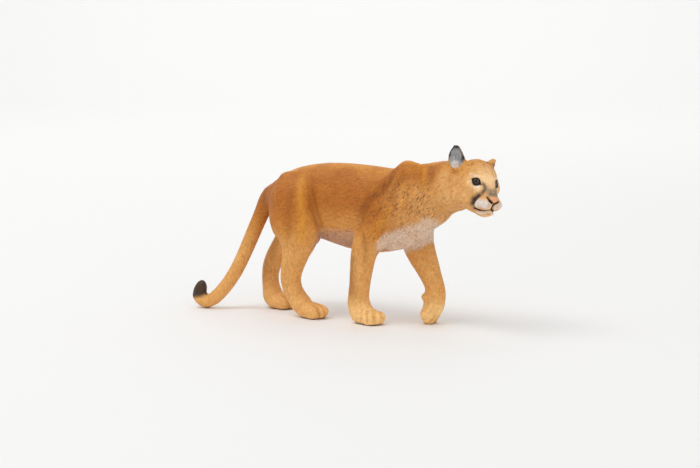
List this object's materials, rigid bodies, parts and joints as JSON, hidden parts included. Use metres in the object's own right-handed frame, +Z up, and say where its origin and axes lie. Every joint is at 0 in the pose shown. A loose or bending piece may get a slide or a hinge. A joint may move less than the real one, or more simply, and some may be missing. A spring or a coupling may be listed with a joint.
{
  "type": "toy cougar figurine",
  "caption": "Small moulded plastic cougar figurine, walking with its head turned a little to its right and its long tail trailing down to the ground.",
  "frame": {"origin": "on the floor, under the middle of the figurine's length and width", "axes": "+X towards the nose, +Y to the animal's left, +Z up"},
  "size_m": [0.1274, 0.0266, 0.0645],
  "materials": {
    "coat": "satin-matte painted PVC with brown washes in the grooves",
    "muzzle": "satin-matte painted PVC, pinkish white",
    "nose": "satin painted PVC, salmon",
    "eye": "gloss black-brown paint",
    "ear": "satin-matte painted PVC, blue-grey in the cup and tan behind",
    "tail_tip": "satin-matte painted PVC, dark grey-brown"
  },
  "bodies": {
    "root": {"torso": "coat", "neck": "coat", "head": "coat", "jaw": "muzzle", "nose": "nose", "eye_left": "eye", "eye_right": "eye", "ear_left": "ear", "ear_right": "ear", "upper_arm_right": "coat", "forearm_right": "coat", "front_paw_right": "coat", "upper_arm_left": "coat", "forearm_left": "coat", "front_paw_left": "coat", "thigh_right": "coat", "shank_right": "coat", "hind_paw_right": "coat", "thigh_left": "coat", "shank_left": "coat", "hind_paw_left": "coat", "tail_root": "coat", "tail_middle": "coat", "tail_lower": "coat", "tail_tip": "tail_tip"}
  },
  "joints": []
}
